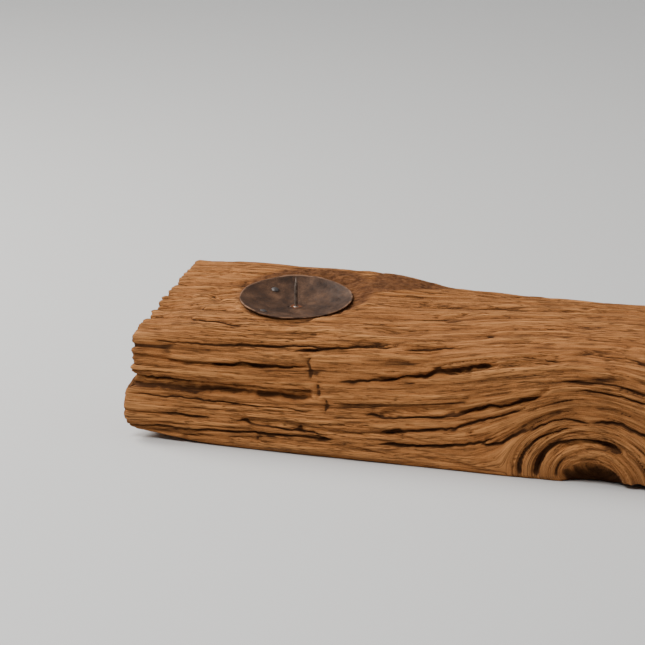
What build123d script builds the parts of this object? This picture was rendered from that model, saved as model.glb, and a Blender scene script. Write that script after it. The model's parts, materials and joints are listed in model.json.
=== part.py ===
from build123d import *
from math import atan2, degrees, hypot, sqrt
import os

# Reclaimed timber beam with two hammered iron pricket dishes.
# Millimetres. X along the beam, +Y to the back, +Z up, origin at the bottom centre of the beam.

# Driving dimensions
BEAM_LENGTH = 640.0
DISH_RADIUS = 45.0
DISH_DEPTH = 9.0
DISH_SHEET = 1.4
DISH_INSET = 116.0
DISH_Y = -0.5
RIM_HEIGHT = 113.0
DISH_TILT = 8.5
DISH_TILT_TOWARDS = 24.0

SPIKE_RADIUS = 1.3
SPIKE_HEIGHT = 25.4
SPIKE_POINT = 7.0
SPIKE_TAIL = 16.0
SPIKE_COLLAR_RADIUS = 2.1
SPIKE_COLLAR_HEIGHT = 0.6

NAIL_HEAD_RADIUS = 3.0
NAIL_HEAD_HEIGHT = 1.5
NAIL_HEAD_EDGE = 0.3
NAIL_LIFT = 0.06
NAIL_SHANK_RADIUS = 1.1
NAIL_SHANK_LENGTH = 20.0
NAIL_POINT = 4.0
# Each nail's (x, y) from the spike, in dish radii
NAIL_SPOTS = {"back": (-0.57, 0.38), "front": (-0.31, -0.72)}

PUNCH_HOLE_RADIUS = 0.8
PUNCH_HOLE_X = -5.0
PUNCH_HOLE_Y = -2.3

HALF = BEAM_LENGTH / 2
DISH_X = HALF - DISH_INSET

# Beam outlines as (y, z): up the front from its foot, over the rounded shoulder, back across the top.
# The last point is the top back edge.
WORN_END = [
    (-63, 8), (-69, 24), (-65, 52), (-62, 76), (-53, 88),
    (-40, 92), (-20, 97), (3, 106), (30, 113), (69, 119),
]
DISH_ZONE = [
    (-63, 1.5), (-67.5, 23), (-64.5, 54), (-60, 84), (-52, 97),
    (-42, 103), (-20, 109.5), (3, 113), (30, 117), (69, 121.5),
]
MIDDLE = [
    (-63, 1.5), (-66.5, 22), (-64.5, 53), (-59.5, 82), (-52, 93),
    (-41, 99.5), (-20, 107), (3, 111), (30, 114), (69, 114.5),
]
KNOT_ZONE = [
    (-63, 5), (-67.5, 22), (-65.5, 53), (-59.5, 82), (-52, 93),
    (-41, 99.5), (-20, 107), (3, 111.5), (30, 115), (69, 116),
]
SAWN_END = [
    (-63, 3), (-67.5, 23), (-64.5, 53), (-60.5, 82), (-52, 94),
    (-42, 101), (-20, 107.5), (3, 111.5), (30, 115), (69, 118.5),
]
# Where each outline holds: x, outline, and the height of the underside before the base is sawn flat
KEY_STATIONS = [
    (-HALF, WORN_END, 7.0),
    (-245, DISH_ZONE, -2.0),
    (-140, DISH_ZONE, -2.0),
    (-98, MIDDLE, -2.0),
    (0, MIDDLE, -2.0),
    (70, KNOT_ZONE, -2.0),
    (120, KNOT_ZONE, 5.0),
    (180, DISH_ZONE, 5.0),
    (245, DISH_ZONE, -2.0),
    (HALF, SAWN_END, -2.0),
]
STATION_COUNT = 21
# How far the flat base starts behind the foot of the front
BASE_INSET = 6.0

# Long weathering grooves: half width, then (x, height) along the run
GROOVE_SINK = 0.2
GROOVES = [
    (4.0, [(-HALF - 8, 48), (-271, 48.4), (-222, 46.7), (-164, 49.7)]),
    (2.0, [(-HALF - 8, 69), (-223, 68), (-168, 72)]),
    (2.2, [(-223, 24), (-179, 24.5), (-129, 23), (-86, 28.5)]),
    (2.2, [(-105, 68), (-55, 76), (-8, 88)]),
    (2.6, [(-103, 41.5), (-32, 50.5), (18, 62.5), (39, 74)]),
    (2.4, [(29, 11), (35, 18), (55, 30), (84, 34.5), (104, 31)]),
]

# Knot hollow worn out of the lower front edge
KNOT_X = 75.0
KNOT_HALF_WIDTH = 26.0
KNOT_RISE = 19.0
KNOT_DEPTH = 16.0
KNOT_FACE_HEIGHT = 4.0

# Scooped seat around a dish, carved wider behind it
SCOOP_RADIUS = 53.0
SCOOP_DEPTH = 9.0
SCOOP_LIP = 2.0
SCOOP_SHIFT_X = 5.0
SCOOP_SHIFT_Y = 5.0
SCOOP_REACH = 1.3
SEAT_CLEARANCE = 0.2
SEAT_MARGIN = 0.8

# Cutters run this far past what they cut
THROUGH = 8.0
ABOVE = 40.0


def outline_at(x):
    """Beam outline and underside height at any X, blended between the key stations."""
    x = min(max(x, -HALF), HALF)
    after = max(1, next(i for i, station in enumerate(KEY_STATIONS) if station[0] >= x))
    (x0, outline0, under0), (x1, outline1, under1) = KEY_STATIONS[after - 1], KEY_STATIONS[after]
    share = (x - x0) / (x1 - x0)
    outline = [
        (y0 + (y1 - y0) * share, z0 + (z1 - z0) * share)
        for (y0, z0), (y1, z1) in zip(outline0, outline1)
    ]
    return outline, under0 + (under1 - under0) * share


def station_face(x):
    """One beam cross-section with a smooth weathered front and top."""
    outline, under = outline_at(x)
    points = [Vector(x, y, z) for y, z in outline]
    back_bottom = Vector(x, outline[-1][0], under)
    front_bottom = Vector(x, outline[0][0] + BASE_INSET, under)
    with BuildLine() as line:
        Spline(*points)
        Line(points[-1], back_bottom)
        Line(back_bottom, front_bottom)
        Line(front_bottom, points[0])
    return make_face(line.line)


def beam_body():
    """The timber before any hollow is cut, lofted through its cross-sections and sawn flat below."""
    step = BEAM_LENGTH / (STATION_COUNT - 1)
    timber = loft([station_face(-HALF + i * step) for i in range(STATION_COUNT)])
    return split(timber, bisect_by=Plane.XY, keep=Keep.TOP)


def front_y(x, z):
    """Y of the front face at a height."""
    outline, _ = outline_at(x)
    for (ya, za), (yb, zb) in zip(outline, outline[1:]):
        if za <= z <= zb:
            return ya + (yb - ya) * (z - za) / (zb - za)
    return outline[0][0]


def groove_cutter(half_width, run):
    """A rod half sunk in the front face along one weathering groove."""
    points = [Vector(x, front_y(x, z) + GROOVE_SINK * half_width, z) for x, z in run]
    path = Spline(*points)
    start = Plane(origin=path @ 0, z_dir=path % 0)
    return sweep(start * Circle(half_width), path=path)


def knot_cutter():
    """A shallow lens that leaves the worn hollow under the knot."""
    ball = Sphere(1.0)
    lens = scale(ball, by=(KNOT_HALF_WIDTH, KNOT_DEPTH, KNOT_RISE))
    return Pos(KNOT_X, front_y(KNOT_X, KNOT_FACE_HEIGHT), 0) * lens


def dish_place(side):
    """Rim centre of the dish at one end: tilted towards the front, spike along local Z."""
    swing = DISH_TILT_TOWARDS
    return (
        Pos(side * DISH_X, DISH_Y, RIM_HEIGHT)
        * Rot(0, 0, swing)
        * Rot(DISH_TILT, 0, 0)
        * Rot(0, 0, -swing)
    )


def bowl_z(r):
    """Height of the dish's inner surface under its rim plane, at a radius."""
    return DISH_DEPTH * ((r / DISH_RADIUS) ** 2 - 1)


def bowl(radius, bottom, rise, top):
    """Solid of revolution bounded below by a parabola from bottom to bottom + rise, closed at top."""
    steps = 6
    curve = [(radius * i / steps, bottom + rise * (i / steps) ** 2) for i in range(steps + 1)]
    with BuildLine(Plane.XZ) as line:
        Spline(*curve, tangents=[(1, 0), (1, 2 * rise / radius)])
        Line(curve[-1], (radius, top))
        Line((radius, top), (0, top))
        Line((0, top), curve[0])
    return revolve(make_face(line.line), axis=Axis.Z)


def dish_bowl(radius, drop, top):
    """The dish's own bowl curve carried to a radius and lowered by drop."""
    return bowl(radius, bowl_z(0) - drop, bowl_z(radius) - bowl_z(0), top)


def nail_frames():
    """Each nail's local frame: head seated on the bowl, shank square to the sheet."""
    frames = {}
    for name, (u, v) in NAIL_SPOTS.items():
        x, y = u * DISH_RADIUS, v * DISH_RADIUS
        r = hypot(x, y)
        slope = degrees(atan2(2 * DISH_DEPTH * r, DISH_RADIUS**2))
        swing = degrees(atan2(y, x))
        frames[name] = Pos(x, y, bowl_z(r)) * Rot(0, 0, swing) * Rot(0, -slope, 0)
    return frames


def dish():
    """Shallow dish beaten from sheet, with a spike hole, two nail holes and an empty punched hole."""
    sheet = dish_bowl(DISH_RADIUS, DISH_SHEET, 0.0) - dish_bowl(DISH_RADIUS + SEAT_MARGIN, 0.0, THROUGH)
    sheet -= Pos(0, 0, -DISH_DEPTH) * Cylinder(SPIKE_RADIUS, THROUGH)
    sheet -= Pos(PUNCH_HOLE_X, PUNCH_HOLE_Y, -DISH_DEPTH) * Cylinder(PUNCH_HOLE_RADIUS, THROUGH)
    for frame in nail_frames().values():
        sheet -= frame * Cylinder(NAIL_SHANK_RADIUS, THROUGH)
    return sheet


def spike():
    """Pointed pin: a tail in the timber, a small rusted collar on the dish, and a tapered tip."""
    bottom = -DISH_DEPTH
    tip = bottom + SPIKE_HEIGHT
    tail = bottom - SPIKE_TAIL
    collar_foot = bowl_z(SPIKE_COLLAR_RADIUS)
    with BuildLine(Plane.XZ) as line:
        Polyline(
            (0, tail),
            (SPIKE_RADIUS, tail + 3),
            (SPIKE_RADIUS, collar_foot),
            (SPIKE_COLLAR_RADIUS, collar_foot),
            (SPIKE_RADIUS, collar_foot + SPIKE_COLLAR_HEIGHT),
            (SPIKE_RADIUS, tip - SPIKE_POINT),
            (0.15, tip),
            (0, tip),
            close=True,
        )
    return revolve(make_face(line.line), axis=Axis.Z)


def nail():
    """Hand-forged nail with a low domed head, just clear of the sheet it holds."""
    edge = NAIL_LIFT + NAIL_HEAD_EDGE
    dome = NAIL_HEAD_HEIGHT - NAIL_HEAD_EDGE
    dome_radius = (NAIL_HEAD_RADIUS**2 + dome**2) / (2 * dome)
    middle = 0.6 * NAIL_HEAD_RADIUS
    middle_z = edge + dome - dome_radius + sqrt(dome_radius**2 - middle**2)
    with BuildLine(Plane.XZ) as line:
        Polyline(
            (0, edge + dome),
            (0, -NAIL_SHANK_LENGTH),
            (NAIL_SHANK_RADIUS, NAIL_POINT - NAIL_SHANK_LENGTH),
            (NAIL_SHANK_RADIUS, NAIL_LIFT),
            (NAIL_HEAD_RADIUS, NAIL_LIFT),
            (NAIL_HEAD_RADIUS, edge),
        )
        ThreePointArc((NAIL_HEAD_RADIUS, edge), (middle, middle_z), (0, edge + dome))
    return revolve(make_face(line.line), axis=Axis.Z)


def seat_cutter():
    """What is carved from the timber for one dish: a scoop, the dish's bed, and the pin holes."""
    scoop_rise = SCOOP_REACH**2 * (SCOOP_DEPTH + SCOOP_LIP)
    scoop = bowl(SCOOP_REACH * SCOOP_RADIUS, -SCOOP_DEPTH, scoop_rise, ABOVE)
    bed = dish_bowl(DISH_RADIUS + SEAT_MARGIN, DISH_SHEET + SEAT_CLEARANCE, ABOVE)
    hole_middle = (SPIKE_TAIL + DISH_DEPTH) / 2
    spike_hole = Pos(0, 0, -hole_middle) * Cylinder(SPIKE_RADIUS, 2 * hole_middle)
    cutter = Pos(SCOOP_SHIFT_X, SCOOP_SHIFT_Y, 0) * scoop + bed + spike_hole
    for frame in nail_frames().values():
        shank_hole = Cylinder(NAIL_SHANK_RADIUS, NAIL_SHANK_LENGTH)
        cutter += frame * Pos(0, 0, -NAIL_SHANK_LENGTH / 2) * shank_hole
    return cutter


def beam():
    """The timber with its long grooves, knot hollow and both dish seats."""
    body = beam_body()
    for half_width, run in GROOVES:
        body -= groove_cutter(half_width, run)
    body -= knot_cutter()
    for side in (-1, 1):
        body -= dish_place(side) * seat_cutter()
    return body


def build():
    parts = {"beam": beam()}
    for name, side in (("left", -1), ("right", 1)):
        place = dish_place(side)
        parts[f"dish_{name}"] = place * dish()
        parts[f"spike_{name}"] = place * spike()
        for spot, frame in nail_frames().items():
            parts[f"nail_{name}_{spot}"] = place * frame * nail()
    return parts


os.makedirs("parts", exist_ok=True)
for node, shape in build().items():
    export_step(shape, f"parts/{node}.step")
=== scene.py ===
import json
from math import atan2, cos, pi, radians, sin, sqrt

import bpy
import numpy as np
from mathutils import Matrix, Vector
from mathutils.bvhtree import BVHTree


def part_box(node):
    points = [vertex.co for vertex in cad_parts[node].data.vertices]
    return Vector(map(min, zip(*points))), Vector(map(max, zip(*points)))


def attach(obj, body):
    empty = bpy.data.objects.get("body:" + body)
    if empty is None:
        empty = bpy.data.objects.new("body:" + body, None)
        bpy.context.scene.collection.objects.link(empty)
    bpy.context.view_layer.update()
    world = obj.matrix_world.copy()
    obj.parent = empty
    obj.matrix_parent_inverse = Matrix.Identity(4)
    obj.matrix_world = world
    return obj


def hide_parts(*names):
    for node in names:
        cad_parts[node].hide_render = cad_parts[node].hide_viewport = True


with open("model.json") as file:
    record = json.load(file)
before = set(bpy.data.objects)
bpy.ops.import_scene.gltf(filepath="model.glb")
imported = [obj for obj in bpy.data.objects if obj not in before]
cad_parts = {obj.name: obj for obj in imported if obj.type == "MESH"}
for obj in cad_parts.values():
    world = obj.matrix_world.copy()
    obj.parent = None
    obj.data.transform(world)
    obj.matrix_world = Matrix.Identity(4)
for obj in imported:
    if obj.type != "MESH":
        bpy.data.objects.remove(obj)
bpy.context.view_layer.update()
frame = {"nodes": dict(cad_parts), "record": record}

MM = 0.001

BEAM_LOW, BEAM_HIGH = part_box("beam")
HALF = BEAM_HIGH.x / MM
DISHES = ("left", "right")

# Camera: a long lens, looking down on the front at the left end
VIEW_AZIMUTH = radians(23.49)
VIEW_ELEVATION = radians(13.26)
FOCAL_PIXELS = 9000.0
PICTURE_PIXELS = 645.0
SENSOR = 36.0
CLIP_END = 50.0             # metres, beyond the backdrop
VIEW_SCALE = 1.256          # picture pixels to a millimetre, at the dish
AIM_RIGHT = 21.1            # from the dish's middle to the picture's middle, mm
AIM_DOWN = 21.1

# Beam mesh
STEP_ALONG = 1.6            # mm between rings
STEP_SHOWN = 0.8            # mm around the front and top
STEP_HIDDEN = 2.4           # mm around the back and underside
TRIAL_ANGLES = 1441         # for measuring the outline before its points are spread
TRIAL_STATIONS = 9
CORE_Y = 3.0                # the line that the rings are seen from
CORE_Z = 56.0

# Beam ends, mm
CAP_RINGS = 26              # rings that close each end
CAP_BULGE = 1.2
PITH_Y = -15.0              # the middle of the growth rings seen on the ends
PITH_Z = -45.0
EDGE_WEAR = 1.2             # how far the arris round each end is worn down
END_GROOVE = 47.0           # height up the front of the long groove at the left end
END_NOTCH = 1.5             # how far the groove is cut into the left end
END_JUT = 2.6               # how far the left end stands out below the groove
FOOT_BULGE = 4.0            # how far its front stands out there
FOOT_HEIGHT = 24.0

# Gouged wood behind each dish, from the middle of the dish, mm
GOUGE_RADIUS = 50.0
GOUGE_X = 3.0
GOUGE_Y = 12.0
SLOPE_START = 38.0          # the fibrous slope beside it
SLOPE_END = 108.0
SLOPE_EDGE_X = 62.0         # a point on the slope's front edge
SLOPE_EDGE_Y = 27.0
SLOPE_RISE = 0.74

# Beam at the rim of each dish: a gap at one side and splinters at the other
RIM_BAND = 2.2
RIM_GAP_DEPTH = 2.6
RIM_GAP_TURN = -0.55
SPLINTER_TURN = -2.5

# Dish mesh, mm
DISH_DEPTH = 9.0
DISH_SHEET = 1.4
DISH_SEGMENTS = 160
SPIKE_HOLE = 1.3
DIMPLE_X = -5.0
DIMPLE_Y = -2.3
DIMPLE_RADIUS = 0.9
DIMPLE_DEPTH = 0.9
RIM_WAVE = 0.8
DENT_DEPTH = 0.22

# Knot under the front edge: the grain arches over it
KNOT_X = 76.0
KNOT_RADIUS = 50.0
KNOT_SQUASH = 0.7
HOLLOW_HALF_WIDTH = 26.0
HOLLOW_RISE = 19.0

# Stage and light, metres and watts
STAGE_NEAR = 11.0           # where the floor starts to curve up
STAGE_FAR = 14.0
STAGE_WALL = 12.0
STAGE_SEGMENTS = 96
WORLD_STRENGTH = 0.62
LIGHT_SIZE = 1.2
KEY_POWER = 40.0
FILL_POWER = 70.0


# ---------------------------------------------------------------- small tools

def smoothstep(low, high, v):
    t = np.clip((v - low) / (high - low), 0.0, 1.0)
    return t * t * (3.0 - 2.0 * t)


def lattice(ix, iy, seed):
    """Repeatable random numbers in -1..1 for whole-number lattice points."""
    n = (ix.astype(np.int64) * 374761393 + iy.astype(np.int64) * 668265263 + seed * 982451653) & 0x7FFFFFFF
    n = ((n ^ (n >> 13)) * 1274126177) & 0x7FFFFFFF
    n = (n ^ (n >> 16)) & 0xFFFFFF
    return n / float(0x7FFFFF) - 1.0


def noise(u, v, seed):
    """Smooth noise in -1..1 with features about one unit across."""
    iu, iv = np.floor(u), np.floor(v)
    fu, fv = u - iu, v - iv
    wu = fu**3 * (fu * (fu * 6 - 15) + 10)
    wv = fv**3 * (fv * (fv * 6 - 15) + 10)
    a = lattice(iu, iv, seed)
    b = lattice(iu + 1, iv, seed)
    c = lattice(iu, iv + 1, seed)
    d = lattice(iu + 1, iv + 1, seed)
    return (a * (1 - wu) + b * wu) * (1 - wv) + (c * (1 - wu) + d * wu) * wv


def layered(u, v, seed, layers=3):
    """Noise with finer noise on it, each layer half as wide and half as strong."""
    total = 0.0
    for i in range(layers):
        total = total + noise(u * 2**i, v * 2**i, seed + 17 * i) * 0.5**i
    return total / (2 - 0.5 ** (layers - 1))


def blur(grid, cells, axis):
    """Gaussian blur of a grid along one axis; axis 1 closes on itself."""
    reach = int(3 * cells) + 1
    offsets = np.arange(-reach, reach + 1)
    weights = np.exp(-0.5 * (offsets / cells) ** 2)
    weights /= weights.sum()
    mode = "wrap" if axis == 1 else "edge"
    pad = [(0, 0)] * grid.ndim
    pad[axis] = (reach, reach)
    padded = np.pad(grid, pad, mode=mode)
    out = 0.0
    length = grid.shape[axis]
    for offset, weight in zip(offsets, weights):
        window = [slice(None)] * grid.ndim
        window[axis] = slice(reach + offset, reach + offset + length)
        out = out + weight * padded[tuple(window)]
    return out


# ---------------------------------------------------------------- beam shape

def beam_tree():
    """The CAD beam's surface, ready for ray casts, in mm."""
    mesh = frame["nodes"]["beam"].data
    corners = [v.co / MM for v in mesh.vertices]
    return BVHTree.FromPolygons(corners, [tuple(p.vertices) for p in mesh.polygons])


def radius_at(tree, x, angle):
    """Distance from the core line to the outermost surface of the CAD beam."""
    direction = Vector((0.0, cos(angle), sin(angle)))
    far = 120.0
    start = Vector((x, CORE_Y, CORE_Z)) + direction * far
    hit, _, _, distance = tree.ray_cast(start, -direction)
    return far - distance if hit else None


def ring_angles(tree):
    """Angles round the section, fine where the surface is seen, coarse below and behind."""
    trial = np.linspace(3 * pi / 2, -pi / 2, TRIAL_ANGLES)
    stations = np.linspace(-0.9 * HALF, 0.9 * HALF, TRIAL_STATIONS)
    radii = np.array([[radius_at(tree, x, a) for a in trial] for x in stations]).mean(0)
    y, z = CORE_Y + radii * np.cos(trial), CORE_Z + radii * np.sin(trial)
    steps = np.hypot(np.diff(y), np.diff(z))
    my, mz = (y[1:] + y[:-1]) / 2, (z[1:] + z[:-1]) / 2
    hidden = (mz < 2.0) | ((my > BEAM_HIGH.y / MM - 2.0) & (mz < 0.92 * BEAM_HIGH.z / MM))
    density = np.where(hidden, 1 / STEP_HIDDEN, 1 / STEP_SHOWN)
    steps_so_far = np.r_[0.0, np.cumsum(steps * density)]
    count = int(steps_so_far[-1])
    marks = np.arange(count) / count * steps_so_far[-1]
    return np.interp(marks, steps_so_far, trial)


def outline_lengths(angles, radii):
    """Length up each ring's outline from the front bottom corner, ignoring grooves."""
    smooth = blur(blur(radii, 8.0, 0), 6.0, 1)
    y, z = smooth * np.cos(angles), smooth * np.sin(angles)
    steps = np.hypot(np.diff(y, axis=1), np.diff(z, axis=1))
    lengths = np.concatenate([np.zeros((len(radii), 1)), np.cumsum(steps, 1)], 1)
    corner = 2 * pi + atan2(-CORE_Z, BEAM_LOW.y / MM - CORE_Y)
    start = np.argmin(abs(angles - corner))
    return lengths - lengths[:, start : start + 1]


def sample_beam():
    """Grid of radii read from the CAD beam: rings along X by points round the section."""
    tree = beam_tree()
    angles = ring_angles(tree)
    xs = np.linspace(-HALF, HALF, int(2 * HALF / STEP_ALONG) + 1)
    inside = np.clip(xs, -HALF + 0.3, HALF - 0.3)
    radii = np.array([[radius_at(tree, x, a) for a in angles] for x in inside])
    radii = close_pin_holes(radii, xs, angles)
    return xs, angles, outline_lengths(angles, radii), blur(blur(radii, 0.7, 0), 0.7, 1)


def close_pin_holes(radii, xs, angles):
    """The narrow nail and spike holes under the dishes are closed over in the shown surface."""
    around = [np.roll(radii, k, 1) for k in range(-4, 5)]
    steady = np.median(np.stack(around), 0)
    steady = np.median(np.stack([np.roll(steady, k, 0) for k in range(-2, 3)]), 0)
    top = (np.sin(angles) > 0.5)[None, :]
    under_dish = np.zeros((len(xs), 1), bool)
    for side in DISHES:
        low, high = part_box("dish_" + side)
        under_dish |= ((xs > low.x / MM) & (xs < high.x / MM))[:, None]
    hole = top & under_dish & (steady - radii > 1.0)
    return np.where(hole, steady, radii)


# ---------------------------------------------------------------- grain and weathering

def grain(x, s):
    """Place along the grain, and the grain line, in mm: it arches over the knot and drifts on top."""
    dx = (x - KNOT_X) * KNOT_SQUASH
    r = np.sqrt(dx**2 + s**2) + 1e-6
    outside = r > KNOT_RADIUS
    across = np.where(outside, s * (1 - (KNOT_RADIUS / r) ** 2), (r - KNOT_RADIUS) * 1.3)
    along = np.where(outside, x, KNOT_X + (x - KNOT_X) * KNOT_RADIUS / r)
    drift = 27 * np.tanh((x + 100) / 150) + 27
    return along, across - drift * smoothstep(70, 190, s)


# Cracks along the grain: depth, half width, where each starts and ends along the beam, and the
# grain line it follows at its start and at its end, counted in mm up the front face
CRACKS = [
    (3.0, 1.1, -310, -90, 75, 80),
    (3.6, 1.4, -185, -95, 75, 82),
    (2.4, 0.9, -260, -165, 62, 63),
    (2.4, 3.0, -340, -155, 42, 40),
    (3.2, 1.0, -340, -155, 46, 43),
    (2.4, 0.8, -325, -155, 33, 31),
    (2.0, 0.9, -295, -245, 20, 19),
    (2.6, 1.0, -235, -140, 19, 14),
    (2.8, 1.7, -330, -135, 6, 12),
    (2.2, 0.9, -140, 115, 130, 118),
    (1.9, 0.9, -145, -65, 104, 110),
    (1.8, 0.8, -120, 95, 94, 96),
    (2.0, 0.9, 30, 205, 85, 83),
    (2.6, 1.2, -95, -35, 77, 79),
    (2.0, 1.0, 5, 50, 70, 63),
    (2.8, 1.2, 55, 195, 72, 68),
    (2.8, 1.1, -145, -5, 52, 66),
    (3.0, 1.4, -125, 35, 30, 30),
    (3.4, 1.5, -110, 25, 18, 24),
    (3.4, 1.6, -110, 0, 10, 11),
    (3.0, 1.3, -30, 80, 11, -6),
    (3.0, 1.3, 70, 195, -7, 15),
    (3.4, 1.4, -5, 65, -6, -12),
    (4.6, 1.8, 15, 110, -21, -28),
    (2.8, 1.2, 55, 205, 34, 36),
    (2.4, 1.1, 45, 195, 44, 44),
    (3.4, 1.7, -340, -235, 180, 180),
    (3.2, 1.6, -340, -240, 160, 152),
    (3.2, 1.5, -340, -245, 141, 130),
    (3.0, 1.4, -340, -235, 124, 108),
    (3.0, 1.4, -340, -220, 108, 90),
]

# Breaks across the grain: depth, half width, place along the beam, lower and upper end up the front
BREAKS = [
    (1.9, 1.3, -165, 59, 77),
    (1.6, 1.2, -158, 44, 57),
    (1.6, 1.1, -151, 33, 45),
]


def line(v):
    """A fixed second coordinate, for noise that only varies along one direction."""
    return np.full_like(v, 0.5)


def grain_spread(x, s):
    """How far the grain line changes in one mm of surface, which is most where the lines crowd."""
    onward = grain(x + 1, s)[1] - grain(x - 1, s)[1]
    upward = grain(x, s + 1)[1] - grain(x, s - 1)[1]
    return np.maximum(np.hypot(onward, upward) / 2, 0.3)


def cut_shape(gap, half_width):
    """A narrow cut with softened lips, by the distance from its middle."""
    return np.exp(-((gap / half_width) ** 2)) + 0.45 * np.exp(-((gap / (2.2 + 2.6 * half_width)) ** 2))


def crack_depth(x, s):
    """Depth of the cracks and breaks at each point of the surface."""
    across = grain(x, s)[1]
    spread = grain_spread(x, s)
    total = np.zeros_like(x)
    for number, (depth, half_width, start, end, first, last) in enumerate(CRACKS):
        followed = first + (last - first) * np.clip((x - start) / (end - start), 0, 1)
        wander = 1.3 * noise(x / 14, line(x), 71 + number) + 0.6 * noise(x / 4, line(x), 91 + number)
        gap = abs((across - followed) / spread + wander)
        fade = min(18.0, (end - start) / 3)
        ends = smoothstep(start, start + fade, x) * smoothstep(end, end - fade, x)
        breadth = half_width * (0.75 + 0.5 * noise(x / 22, line(x), 131 + number)) * (0.3 + 0.7 * ends)
        total = np.maximum(total, depth * ends * cut_shape(gap, np.maximum(breadth, 0.2)))
    for number, (depth, half_width, place, low, high) in enumerate(BREAKS):
        gap = abs(x - place + 3.0 * noise(s / 8, line(s), 151 + number))
        ends = smoothstep(low - 2, low + 3, s) * smoothstep(high + 2, high - 3, s)
        total = np.maximum(total, depth * ends * cut_shape(gap, half_width))
    return total


def rounded(along, across, length, pitch, seed, power=0.65):
    """Rounded ridges with sharp valleys between them, 0 in the valleys to about 1."""
    return abs(noise(along / length, across / pitch, seed)) ** power


def ridges(along, across, pitch, seed):
    """Worn growth rings: a steep lip at the foot of each ridge and a long fall above it, 0..1."""
    phase = across / pitch + 1.1 * noise(along / 170, across / 45, seed)
    phase = phase + 0.35 * noise(along / 60, across / 16, seed + 5)
    t = phase - np.floor(phase)
    height = smoothstep(0.0, 0.22, t) * (1 - 0.75 * smoothstep(0.3, 1.0, t))
    strength = 0.5 + 0.5 * noise(along / 110, np.floor(phase) * 3.7, seed + 9)
    return height * (0.35 + 0.65 * strength)


def checks(along, across, length, pitch, width, seed):
    """Thin drying cracks that follow the grain, 0..1, coming and going along it."""
    n = noise(along / length, across / pitch, seed)
    crack = 1 - smoothstep(0.0, width, abs(n))
    shown = smoothstep(0.0, 0.5, noise(along / (0.55 * length), across / (1.5 * pitch), seed + 3))
    return crack * shown


# Rounded ridges: height, length along the grain, pitch across it, seed
RIDGE_LAYERS = [
    (1.9, 150, 8.0, 23),
    (1.5, 85, 3.6, 33),
    (0.8, 40, 1.9, 41),
]

# Drying cracks: depth, length along the grain, pitch across it, width as a share of the pitch, seed
CHECK_LAYERS = [
    (2.0, 110, 9.0, 0.085, 51),
    (1.3, 60, 4.5, 0.12, 55),
]


def weathering(x, s):
    """Height of the worn surface over the CAD surface in mm, mostly below it."""
    along, across = grain(x, s)
    along = along + 6 * noise(x / 60, s / 25, 3)
    across = across + 2.0 * noise(along / 90, across / 30, 4) + 0.6 * noise(along / 28, across / 11, 6)
    h = 1.3 * layered(along / 150, across / 30, 11)
    h = h + 1.7 * (ridges(along, across, 10.0, 21) - 0.5)
    for height, length, pitch, seed in RIDGE_LAYERS:
        h = h + height * (rounded(along, across, length, pitch, seed) - 0.5)
    for depth, length, pitch, width, seed in CHECK_LAYERS:
        h = h - depth * checks(along, across, length, pitch, width, seed)
    pits = smoothstep(0.35, 0.8, noise(along / 9, across / 2.2, 61))
    h = h - 0.8 * pits * smoothstep(0, 0.6, noise(along / 50, across / 9, 63))
    h = h - crack_depth(x, s)
    return h + 0.2


def gouged_behind(x, y):
    """The rough cut wood behind a dish, and the fibrous slope down from it, 0..1."""
    total = np.zeros_like(x)
    for side in DISHES:
        middle = dish_frame(side)[0]
        cx, cy = middle.x / MM, middle.y / MM
        from_middle = np.hypot(x - cx - GOUGE_X, y - cy - GOUGE_Y)
        behind = 1 - smoothstep(GOUGE_RADIUS, GOUGE_RADIUS + 8, from_middle)
        past_edge = y - cy - SLOPE_EDGE_Y - SLOPE_RISE * (x - cx - SLOPE_EDGE_X)
        slope = smoothstep(-4, 4, past_edge) * smoothstep(SLOPE_START, SLOPE_START + 10, x - cx)
        slope = slope * (1 - smoothstep(SLOPE_END, SLOPE_END + 12, x - cx))
        total = np.maximum(total, np.maximum(behind, slope))
    return total


def around_dishes(x, y):
    """How much weathering is kept near the dish beds, and the extra cut or lift at their rims in mm."""
    keep = np.ones_like(x)
    extra = np.zeros_like(x)
    for side in DISHES:
        middle, _, radius = dish_frame(side)
        dx, dy = x - middle.x / MM, y - middle.y / MM
        wide = np.hypot(dx, dy)
        facing = np.arctan2(dy, dx)
        keep = keep * smoothstep(radius - 2, radius + 2, wide)
        band = np.exp(-(((wide - radius - 1.5) / RIM_BAND) ** 2))
        gap = smoothstep(0.9, 0.4, abs(facing - RIM_GAP_TURN))
        splinter = smoothstep(0.75, 0.3, abs(facing - SPLINTER_TURN))
        extra = extra - RIM_GAP_DEPTH * band * gap
        extra = extra + band * splinter * (0.5 + 1.6 * noise(x / 3.5, y / 2.0, 171))
    return keep, extra


def knot_hollow(x, y, z):
    """The hollow under the knot is worn nearly smooth."""
    inside = np.hypot((x - KNOT_X) / HOLLOW_HALF_WIDTH, z / HOLLOW_RISE)
    return 1 - 0.75 * smoothstep(1.05, 0.9, inside) * smoothstep(-35, -45, y)


def calm_zones(y, z):
    """Where the weathering fades: the flat underside and the sawn back."""
    keep = smoothstep(0.5, 6.0, z)
    back = smoothstep(-3.0, 0.0, y - BEAM_HIGH.y / MM)
    return keep * (1 - 0.65 * back)


def ring_points(xs, angles, radii):
    """Points of every ring in mm, from their radii round the core line."""
    y = CORE_Y + radii * np.cos(angles)[None, :]
    z = CORE_Z + radii * np.sin(angles)[None, :]
    x = np.repeat(xs[:, None], len(angles), 1)
    return np.stack([x, y, z], -1)


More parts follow.
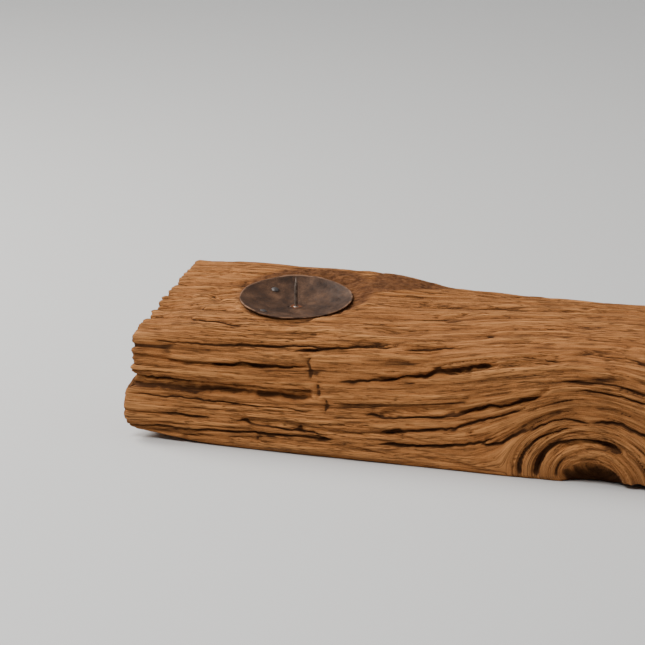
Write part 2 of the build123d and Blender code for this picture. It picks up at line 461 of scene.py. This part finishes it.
def outward_normals(points):
    """Directions away from the beam's core, from a softened copy of the surface."""
    soft = blur(blur(points, 3.0, 0), 3.0, 1)
    soft[..., 0] = points[..., 0]
    around = np.roll(soft, -1, 1) - np.roll(soft, 1, 1)
    onward = np.gradient(soft, axis=0)
    n = np.cross(onward, around)
    n /= np.linalg.norm(n, axis=-1, keepdims=True) + 1e-9
    core = np.array([0.0, CORE_Y, CORE_Z])
    away = points - core
    away[..., 0] = 0
    return n * np.sign((n * away).sum(-1, keepdims=True))


def end_caps(points, rings):
    """Rings that close each end: a worn edge, then rough end grain."""
    caps = []
    for end, sign in ((0, -1), (-1, 1)):
        rim = points[end]
        middle = rim.mean(0)
        cap = []
        for k in range(1, rings + 1):
            share = (1 - k / (rings + 0.5)) ** 0.9
            ring = middle + (rim - middle) * share
            y, z = ring[:, 1], ring[:, 2]
            bulge = CAP_BULGE * (1 - share) ** 0.25
            rough = 0.5 * noise(y / 3, z / 3, 201 + end) + 0.9 * noise(y / 11, z / 9, 205)
            relief = bulge + rough - 1.6 * checks(y, z, 50, 16, 0.06, 211) - 1.0
            ring[:, 0] = rim[:, 0] * share + middle[0] * (1 - share) + sign * relief
            cap.append(ring)
        caps.append(np.array(cap))
    return caps


def end_grain_flow(cap):
    """On the ends the grain shows as growth rings: length round the ring, and ring size."""
    dy, dz = cap[..., 1] - PITH_Y, cap[..., 2] - PITH_Z
    return 90 * np.arctan2(dz, dy), np.hypot(dy, dz)


def beam_relief(x, y, z, s):
    """Height of the finished surface over the CAD surface in mm, and the mask of the gouged wood."""
    back = BEAM_HIGH.y / MM
    on_top = smoothstep(80, 95, z)
    gouge = gouged_behind(x, y) * on_top * smoothstep(back - 0.5, back - 4, y)
    near_dish, extra = around_dishes(x, y)
    keep = calm_zones(y, z) * (1 - (1 - near_dish) * on_top)
    rough = 1.1 * noise(x / 5, y / 2.5, 181) + 0.6 * noise(x / 2.4, y / 1.6, 183)
    h = weathering(x, s) * (1 - 0.6 * gouge) + rough * 0.7 * gouge
    h = h * keep * knot_hollow(x, y, z) + extra * on_top
    low_front = smoothstep(-50, -60, y) * np.exp(-(((s - FOOT_HEIGHT) / 15) ** 2))
    h = h + FOOT_BULGE * smoothstep(-280, -318, x) * low_front
    h = h - EDGE_WEAR * np.exp(-(((HALF - abs(x)) / 2.0) ** 2)) * keep
    return h, gouge


def drawn_in(x, s, h):
    """How far each end is drawn in: ragged, and on the left notched and jutting out below the groove."""
    side = line(x) * np.sign(x)
    ragged = 1.0 * noise(s / 7, side, 301) + 0.5 * noise(s / 2.5, side, 303)
    jut = END_JUT * smoothstep(END_GROOVE - 1, END_GROOVE - 5, s) * smoothstep(0, 10, s) * (x < 0)
    notch = END_NOTCH * np.exp(-(((s - END_GROOVE) / 3) ** 2)) * (x < 0)
    return np.clip(0.6 + ragged - 0.5 * h, 0, 5) + notch - jut


def relief_shade_mask(h):
    """How far each point stands above or below its surroundings, mixed from three distances; the wood
    colour uses it for painted shade in the hollows and a painted highlight on the crests.
    """
    local = blur(blur(h, 4.0, 0), 5.0, 1)
    fine = blur(blur(h, 2.0, 0), 1.6, 1)
    broad = blur(blur(h, 14, 0), 14, 1)
    return (h - local) * 0.55 + (h - fine) * 0.7 + (fine - broad) * 0.25


def beam_vertices():
    """All beam vertices with their grain coordinates, the relief mask for painted light and shade, and
    finish masks.
    """
    xs, angles, s, radii = sample_beam()
    base = ring_points(xs, angles, radii)
    x, y, z = base[..., 0], base[..., 1], base[..., 2]
    h, gouge = beam_relief(x, y, z, s)
    points = base + outward_normals(base) * h[..., None]
    points[..., 0] -= np.sign(x) * drawn_in(x, s, h) * smoothstep(24, 0, HALF - abs(x))
    points[..., 2] = np.maximum(points[..., 2], 0.0)
    # Painted shade: the relief mask, made darker still in the hollow under the knot near the floor.
    relief_shade = relief_shade_mask(h) - 2.2 * (1 - knot_hollow(x, y, z)) * smoothstep(20, 6, z)
    along, across = grain(x, s)
    return {"points": points, "along": along, "across": across, "relief_shade": relief_shade, "gouge": gouge}


def strip_faces(rings, count):
    """Quads joining each ring to the next, wound outward, with their place on the unrolled surface."""
    i = np.arange(rings - 1)[:, None]
    j = np.arange(count)[None, :]
    k = (j + 1) % count
    quads = np.stack([i * count + j, (i + 1) * count + j, (i + 1) * count + k, i * count + k], -1)
    u0, u1 = i / (rings - 1) + 0 * j, (i + 1) / (rings - 1) + 0 * j
    v0, v1 = j / count + 0 * i, (j + 1) / count + 0 * i
    places = np.stack([u0, v0, u1, v0, u1, v1, u0, v1], -1)
    return quads.reshape(-1, 4).tolist(), places.reshape(-1, 2)


def add_unrolled(mesh, places):
    """A tidy surface layout for finishes: length by outline."""
    layer = mesh.uv_layers.new(name="OFBake")
    flat = np.zeros((len(mesh.loops), 2), np.float32)
    flat[: len(places)] = 0.002 + 0.996 * places
    layer.data.foreach_set("uv", flat.ravel())


def build_beam():
    data = beam_vertices()
    points = data["points"]
    count = points.shape[1]
    left, right = end_caps(points, CAP_RINGS)
    order = np.concatenate([left[::-1], points, right])
    total = len(order)
    middles = np.array([order[0].mean(0), order[-1].mean(0)])
    vertices = np.concatenate([order.reshape(-1, 3), middles]) * MM
    faces, places = strip_faces(total, count)
    first, last, tail = total * count, total * count + 1, (total - 1) * count
    faces += [(first, j, (j + 1) % count) for j in range(count)]
    faces += [(last, tail + (j + 1) % count, tail + j) for j in range(count)]
    mesh = bpy.data.meshes.new("weathered_beam")
    mesh.from_pydata(vertices.tolist(), [], faces)

    def spread(grid, head, foot):
        rows = [np.broadcast_to(head, (CAP_RINGS, count)), grid, np.broadcast_to(foot, (CAP_RINGS, count))]
        flat = np.concatenate(rows).ravel()
        return np.r_[flat, flat[0], flat[-1]].astype(np.float32)

    # The relief mask, which the wood colour turns into painted shade in the grooves and a painted
    # highlight on the crests.
    add_value(mesh, "relief_shade", spread(data["relief_shade"], 0.0, 0.0))
    add_value(mesh, "gouge", spread(data["gouge"], 0.0, 0.0))
    add_value(mesh, "end_grain", spread(np.zeros_like(data["relief_shade"]), 1.0, 1.0))
    head, foot = end_grain_flow(left[::-1]), end_grain_flow(right)
    along = spread(data["along"], head[0], foot[0])
    across = spread(data["across"], head[1], foot[1])
    flow = np.stack([along, across], -1)
    layer = mesh.attributes.new("grain_flow", "FLOAT_VECTOR", "POINT")
    layer.data.foreach_set("vector", np.c_[flow, np.zeros(len(flow))].astype(np.float32).ravel())
    add_unrolled(mesh, places)
    return finish_mesh("weathered_beam", mesh)


def finish_mesh(name, mesh):
    """Smooth shading, and an object that carries the mesh."""
    mesh.shade_smooth()
    thing = bpy.data.objects.new(name, mesh)
    bpy.context.scene.collection.objects.link(thing)
    return thing


def add_value(mesh, name, values):
    """One number per vertex, for the finishes to read."""
    mesh.attributes.new(name, "FLOAT", "POINT").data.foreach_set("value", np.asarray(values, np.float32))


# ---------------------------------------------------------------- dishes

def dish_frame(side):
    """Rim centre, the direction the dish faces, and its radius in mm."""
    mount = next(m for m in frame["record"]["mounts"] if m["name"] == "candle_pin_" + side)
    axis = Vector(mount["axis"]).normalized()
    low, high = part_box("dish_" + side)
    radius = (high.x - low.x) / 2 / sqrt(1 - axis.x**2)
    centre = Vector(((low.x + high.x) / 2, (low.y + high.y) / 2, high.z - radius * sqrt(1 - axis.z**2)))
    return centre, axis, radius / MM


def dish_profile(radius):
    """Radius and height of each ring: up the inside from the spike, round the rim, down underneath."""
    inner = np.r_[np.linspace(SPIKE_HOLE, 8.0, 20), np.linspace(8.8, radius - 1.0, 42), radius - 0.35]
    top = [(r, DISH_DEPTH * ((r / radius) ** 2 - 1)) for r in inner]
    edge = [(radius, -0.35), (radius, -0.9)]
    under = [(r, DISH_DEPTH * ((r / radius) ** 2 - 1) - DISH_SHEET) for r in inner[::-4]]
    return np.array(top + edge + under), len(top)


def build_dish(side, number):
    """Dish beaten from sheet: shallow hammer dents, an uneven rim and a punched dimple."""
    centre, axis, radius = dish_frame(side)
    profile, top_rings = dish_profile(radius)
    turns = np.linspace(0, 2 * pi, DISH_SEGMENTS, endpoint=False)
    r = np.repeat(profile[:, :1], DISH_SEGMENTS, 1)
    z = np.repeat(profile[:, 1:], DISH_SEGMENTS, 1)
    turn = np.repeat(turns[None, :], len(profile), 0)
    wave = noise(turns * 2.4 + 9, line(turns), 401 + number)
    wave = wave * smoothstep(0, 0.6, turns) * smoothstep(0, 0.6, 2 * pi - turns)
    outer = smoothstep(0.75, 1.0, r / radius)
    r = r * (1 + 0.016 * wave[None, :] * outer)
    x, y = r * np.cos(turn), r * np.sin(turn)
    dents = noise(x / 7, y / 7, 411 + number) + 0.5 * noise(x / 3.2, y / 3.2, 413 + number)
    settle = smoothstep(SPIKE_HOLE, 5.0, r)
    z = z + DENT_DEPTH * dents * settle + RIM_WAVE * wave[None, :] * outer
    is_top = (np.arange(len(profile)) < top_rings)[:, None]
    dimple = np.exp(-((np.hypot(x - DIMPLE_X, y - DIMPLE_Y) / DIMPLE_RADIUS) ** 2)) * is_top
    z = z - DIMPLE_DEPTH * dimple
    turned = Vector((0, 0, 1)).rotation_difference(axis).to_matrix()
    points = np.stack([x, y, z], -1).reshape(-1, 3) * MM @ np.array(turned).T + np.array(centre)
    faces, _ = strip_faces(len(profile), DISH_SEGMENTS)
    last = (len(profile) - 1) * DISH_SEGMENTS
    for j in range(DISH_SEGMENTS):
        k = (j + 1) % DISH_SEGMENTS
        faces.append((last + j, j, k, last + k))
    mesh = bpy.data.meshes.new("dish_" + side)
    mesh.from_pydata(points.tolist(), [], faces)
    mesh.flip_normals()
    stain = 1 - smoothstep(2.2, 5.5, r + 1.2 * noise(x / 2.0, y / 2.0, 421))
    add_value(mesh, "rust", (stain * is_top).ravel())
    add_value(mesh, "dimple", dimple.ravel())
    add_value(mesh, "rim", smoothstep(radius - 1.6, radius - 0.2, r).ravel())
    return finish_mesh("beaten_dish_" + side, mesh)


# ---------------------------------------------------------------- materials

class Nodes:
    """Short calls for building one material's node tree."""

    def __init__(self, name):
        self.material = bpy.data.materials.new(name)
        self.material.use_nodes = True
        self.tree = self.material.node_tree
        self.shader = self.tree.nodes["Principled BSDF"]

    def link(self, source, target):
        self.tree.links.new(source, target)
        return source

    def put(self, socket, value):
        if hasattr(value, "is_output"):
            self.link(value, socket)
        elif value is not None:
            socket.default_value = value

    def attribute(self, name, output="Fac"):
        node = self.tree.nodes.new("ShaderNodeAttribute")
        node.attribute_name = name
        return node.outputs[output]

    def coordinates(self):
        return self.tree.nodes.new("ShaderNodeTexCoord").outputs["Object"]

    def mapped(self, vector, scale):
        node = self.tree.nodes.new("ShaderNodeMapping")
        self.link(vector, node.inputs["Vector"])
        node.inputs["Scale"].default_value = scale
        return node.outputs["Vector"]

    def noise(self, vector, scale=1.0, detail=4.0, rough=0.55, distortion=0.0):
        node = self.tree.nodes.new("ShaderNodeTexNoise")
        self.link(vector, node.inputs["Vector"])
        node.inputs["Scale"].default_value = scale
        node.inputs["Detail"].default_value = detail
        node.inputs["Roughness"].default_value = rough
        node.inputs["Distortion"].default_value = distortion
        return node.outputs["Fac"]

    def math(self, operation, a, b=None):
        node = self.tree.nodes.new("ShaderNodeMath")
        node.operation = operation
        self.put(node.inputs[0], a)
        self.put(node.inputs[1], b)
        return node.outputs[0]

    def weighted(self, *parts):
        """Sum of (source, weight) pairs."""
        total = None
        for source, weight in parts:
            share = self.math("MULTIPLY", source, weight)
            total = self.math("ADD", total, share) if total else share
        return total

    def span(self, value, low, high, out_low=0.0, out_high=1.0):
        node = self.tree.nodes.new("ShaderNodeMapRange")
        node.interpolation_type = "SMOOTHSTEP"
        inputs = {"Value": value, "From Min": low, "From Max": high, "To Min": out_low, "To Max": out_high}
        for name, v in inputs.items():
            self.put(node.inputs[name], v)
        return node.outputs["Result"]

    def ramp(self, value, stops):
        node = self.tree.nodes.new("ShaderNodeValToRGB")
        self.link(value, node.inputs["Fac"])
        band = node.color_ramp
        while len(band.elements) < len(stops):
            band.elements.new(0.5)
        for element, (place, colour) in zip(band.elements, stops):
            element.position = place
            element.color = (*colour, 1.0)
        return node.outputs["Color"]

    def mix(self, amount, a, b, blend="MIX"):
        node = self.tree.nodes.new("ShaderNodeMix")
        node.data_type = "RGBA"
        node.blend_type = blend
        self.put(node.inputs[0], amount)
        for socket, value in ((node.inputs[6], a), (node.inputs[7], b)):
            self.put(socket, value if hasattr(value, "is_output") else (*value, 1.0))
        return node.outputs[2]

    def bump(self, height, strength, distance):
        node = self.tree.nodes.new("ShaderNodeBump")
        self.link(height, node.inputs["Height"])
        node.inputs["Strength"].default_value = strength
        node.inputs["Distance"].default_value = distance
        self.link(node.outputs["Normal"], self.shader.inputs["Normal"])


def grain_lines(n, flow, scale, width):
    """Thin wandering lines along the grain, 1 on the line."""
    field = n.noise(n.mapped(flow, scale), 1.0, 2.0, 0.5, 0.2)
    return n.span(n.math("ABSOLUTE", n.math("SUBTRACT", field, 0.5)), width, 0.0)


def weathered_wood():
    """Orange-brown bare timber: streaks along the grain, with painted shade in the grooves and a painted
    highlight on the crests.
    """
    n = Nodes("weathered_wood")
    flow = n.attribute("grain_flow", "Vector")
    relief_shade = n.attribute("relief_shade")
    broad = n.noise(n.mapped(flow, (0.006, 0.03, 1)), 1.0, 3.0)
    streak = n.noise(n.mapped(flow, (0.018, 0.42, 1)), 1.0, 5.0, 0.6, 0.3)
    fibre = n.noise(n.mapped(flow, (0.05, 1.7, 1)), 1.0, 4.0, 0.7)
    speck = n.noise(n.coordinates(), 1100.0, 3.0, 0.65)
    tone = n.weighted((broad, 0.26), (streak, 0.40), (fibre, 0.40), (speck, 0.24))
    bare = n.ramp(tone, [
        (0.40, (0.135, 0.044, 0.012)),
        (0.54, (0.330, 0.124, 0.038)),
        (0.66, (0.475, 0.190, 0.060)),
        (0.82, (0.670, 0.300, 0.106)),
    ])
    # Painted highlight: crests that stand above their surroundings are made lighter.
    ridge = n.span(relief_shade, 0.1, 1.3)
    bare = n.mix(n.math("MULTIPLY", ridge, 0.4), bare, (0.73, 0.338, 0.118))
    thin = n.math("MULTIPLY", grain_lines(n, flow, (0.022, 0.55, 1), 0.035), n.span(broad, 0.35, 0.6))
    fine = n.math("MULTIPLY", grain_lines(n, flow, (0.035, 1.1, 1), 0.04), n.span(streak, 0.62, 0.42))
    marks = n.math("MAXIMUM", n.math("MULTIPLY", thin, 0.85), n.math("MULTIPLY", fine, 0.75))
    bare = n.mix(marks, bare, (0.070, 0.026, 0.010))
    # Painted shade: grooves and hollows are made dark, the dark varied by the fibre noise.
    groove = n.span(relief_shade, -0.05, -1.7)
    deep = n.ramp(fibre, [(0.35, (0.028, 0.010, 0.004)), (0.65, (0.105, 0.042, 0.016))])
    colour = n.mix(n.math("MULTIPLY", groove, 0.92), bare, deep)
    gouged = n.ramp(n.noise(n.coordinates(), 240.0, 4.0), [
        (0.35, (0.085, 0.030, 0.012)),
        (0.65, (0.240, 0.098, 0.038)),
    ])
    colour = n.mix(n.math("MULTIPLY", n.attribute("gouge"), 0.85), colour, gouged)
    sawn = n.ramp(n.weighted((streak, 0.6), (speck, 0.4)), [
        (0.38, (0.060, 0.023, 0.009)),
        (0.62, (0.260, 0.112, 0.044)),
    ])
    colour = n.mix(n.math("MULTIPLY", n.attribute("end_grain"), 0.8), colour, sawn)
    n.link(colour, n.shader.inputs["Base Color"])
    rough = n.span(streak, 0.3, 0.7, 0.95, 0.78)
    n.link(rough, n.shader.inputs["Roughness"])
    n.shader.inputs["Specular IOR Level"].default_value = 0.12
    n.bump(n.weighted((fibre, 1.0), (speck, 1.0), (marks, -0.6)), 1.0, 0.0016)
    return n.material


def rusted_iron():
    """Hammered dish: dark brown patina with rust blooms and a worn paler rim."""
    n = Nodes("rusted_iron")
    place = n.coordinates()
    bloom = n.noise(place, 70.0, 5.0, 0.6)
    grit = n.noise(place, 700.0, 4.0, 0.65)
    tone = n.weighted((bloom, 0.7), (grit, 0.3))
    colour = n.ramp(tone, [
        (0.35, (0.018, 0.008, 0.004)),
        (0.52, (0.056, 0.026, 0.013)),
        (0.68, (0.125, 0.062, 0.032)),
    ])
    colour = n.mix(n.math("MULTIPLY", n.attribute("rust"), 0.8), colour, (0.20, 0.062, 0.020))
    worn = n.span(n.noise(place, 120.0, 3.0), 0.38, 0.55)
    pale = n.math("MULTIPLY", n.attribute("rim"), n.math("MULTIPLY", worn, 0.7))
    colour = n.mix(pale, colour, (0.30, 0.16, 0.09))
    # Painted shade: the punched dimple is coloured near black.
    colour = n.mix(n.attribute("dimple"), colour, (0.008, 0.005, 0.004))
    n.link(colour, n.shader.inputs["Base Color"])
    n.shader.inputs["Metallic"].default_value = 0.1
    n.shader.inputs["Specular IOR Level"].default_value = 0.2
    n.link(n.span(bloom, 0.3, 0.7, 0.42, 0.62), n.shader.inputs["Roughness"])
    n.bump(n.weighted((bloom, 0.5), (grit, 0.3)), 0.5, 0.0006)
    return n.material


def worn_iron(name, dark, light, metallic, roughness):
    """Spike and nails: forged iron, worn brighter in patches."""
    n = Nodes(name)
    place = n.coordinates()
    patch = n.noise(place, 320.0, 4.0, 0.6)
    grit = n.noise(place, 1500.0, 3.0, 0.6)
    colour = n.ramp(patch, [(0.35, dark), (0.65, light)])
    n.link(colour, n.shader.inputs["Base Color"])
    n.shader.inputs["Metallic"].default_value = metallic
    n.link(n.span(patch, 0.3, 0.7, roughness + 0.12, roughness - 0.08), n.shader.inputs["Roughness"])
    n.bump(n.weighted((patch, 1.0), (grit, 0.5)), 0.4, 0.0003)
    return n.material


def plain_paint(name, colour, roughness):
    n = Nodes(name)
    n.shader.inputs["Base Color"].default_value = (*colour, 1.0)
    n.shader.inputs["Roughness"].default_value = roughness
    return n.material


# ---------------------------------------------------------------- stage, light, camera

def build_camera():
    level = cos(VIEW_ELEVATION)
    right = Vector((cos(VIEW_AZIMUTH), sin(VIEW_AZIMUTH), 0.0))
    back = Vector((sin(VIEW_AZIMUTH) * level, -cos(VIEW_AZIMUTH) * level, sin(VIEW_ELEVATION)))
    up = back.cross(right)
    target = dish_frame("left")[0] + (right * AIM_RIGHT - up * AIM_DOWN) * MM
    place = target + back * (FOCAL_PIXELS / VIEW_SCALE) * MM
    data = bpy.data.cameras.new("camera")
    data.sensor_width = SENSOR
    data.lens = FOCAL_PIXELS / PICTURE_PIXELS * SENSOR
    data.clip_end = CLIP_END
    camera = bpy.data.objects.new("camera", data)
    turn = Matrix((right, up, back)).transposed().to_4x4()
    camera.matrix_world = Matrix.Translation(place) @ turn
    bpy.context.scene.collection.objects.link(camera)
    bpy.context.scene.camera = camera


def build_stage():
    """Pale floor that curves up into a pale backdrop, all round."""
    bend = STAGE_FAR - STAGE_NEAR
    profile = [(STAGE_NEAR, 0.0)]
    profile += [(STAGE_NEAR + bend * sin(a), bend * (1 - cos(a))) for a in np.linspace(0.15, pi / 2, 10)]
    profile += [(STAGE_FAR, STAGE_WALL)]
    turns = [2 * pi * k / STAGE_SEGMENTS for k in range(STAGE_SEGMENTS)]
    vertices = [(0.0, 0.0, 0.0)]
    for radius, height in profile:
        vertices += [(radius * cos(turn), radius * sin(turn), height) for turn in turns]
    pairs = [(k, (k + 1) % STAGE_SEGMENTS) for k in range(STAGE_SEGMENTS)]
    faces = [(0, 1 + j, 1 + k) for j, k in pairs]
    for ring in range(len(profile) - 1):
        a, b = 1 + ring * STAGE_SEGMENTS, 1 + (ring + 1) * STAGE_SEGMENTS
        faces += [(a + j, b + j, b + k, a + k) for j, k in pairs]
    mesh = bpy.data.meshes.new("floor")
    mesh.from_pydata(vertices, [], faces)
    mesh.shade_smooth()
    floor = bpy.data.objects.new("floor", mesh)
    mesh.materials.append(plain_paint("pale_floor", (0.60, 0.60, 0.595), 0.8))
    bpy.context.scene.collection.objects.link(floor)


def area_light(name, place, target, size, power, colour):
    data = bpy.data.lights.new(name, "AREA")
    data.shape = "DISK"
    data.size = size
    data.energy = power
    data.color = colour
    light = bpy.data.objects.new(name, data)
    light.location = place
    light.rotation_euler = (Vector(target) - Vector(place)).to_track_quat("-Z", "Y").to_euler()
    bpy.context.scene.collection.objects.link(light)


def build_lights():
    world = bpy.data.worlds.new("studio")
    world.use_nodes = True
    background = world.node_tree.nodes["Background"]
    background.inputs["Color"].default_value = (0.97, 0.98, 1.0, 1.0)
    background.inputs["Strength"].default_value = WORLD_STRENGTH
    bpy.context.scene.world = world
    middle = (-0.1, 0.0, 0.08)
    area_light("key", (-1.6, 0.3, 1.25), middle, LIGHT_SIZE, KEY_POWER, (1.0, 0.97, 0.92))
    area_light("fill", (-0.5, -1.7, 2.3), middle, LIGHT_SIZE, FILL_POWER, (1.0, 0.99, 0.97))


def clear_defaults():
    for name in ("Cube", "Light", "Camera"):
        if name in bpy.data.objects:
            bpy.data.objects.remove(bpy.data.objects[name])


def main():
    clear_defaults()
    beam = build_beam()
    beam.data.materials.append(weathered_wood())
    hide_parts("beam")
    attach(beam, "root")
    iron = rusted_iron()
    for number, side in enumerate(DISHES):
        dish = build_dish(side, number)
        dish.data.materials.append(iron)
        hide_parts("dish_" + side)
        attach(dish, "root")
    spike_iron = worn_iron("spike_iron", (0.09, 0.065, 0.05), (0.30, 0.24, 0.20), 0.6, 0.40)
    nail_iron = worn_iron("nail_iron", (0.03, 0.024, 0.022), (0.11, 0.095, 0.09), 0.5, 0.48)
    for name, node in frame["nodes"].items():
        if name.startswith(("spike", "nail")):
            node.data.materials.clear()
            node.data.materials.append(spike_iron if name.startswith("spike") else nail_iron)
    build_stage()
    build_lights()
    build_camera()


main()
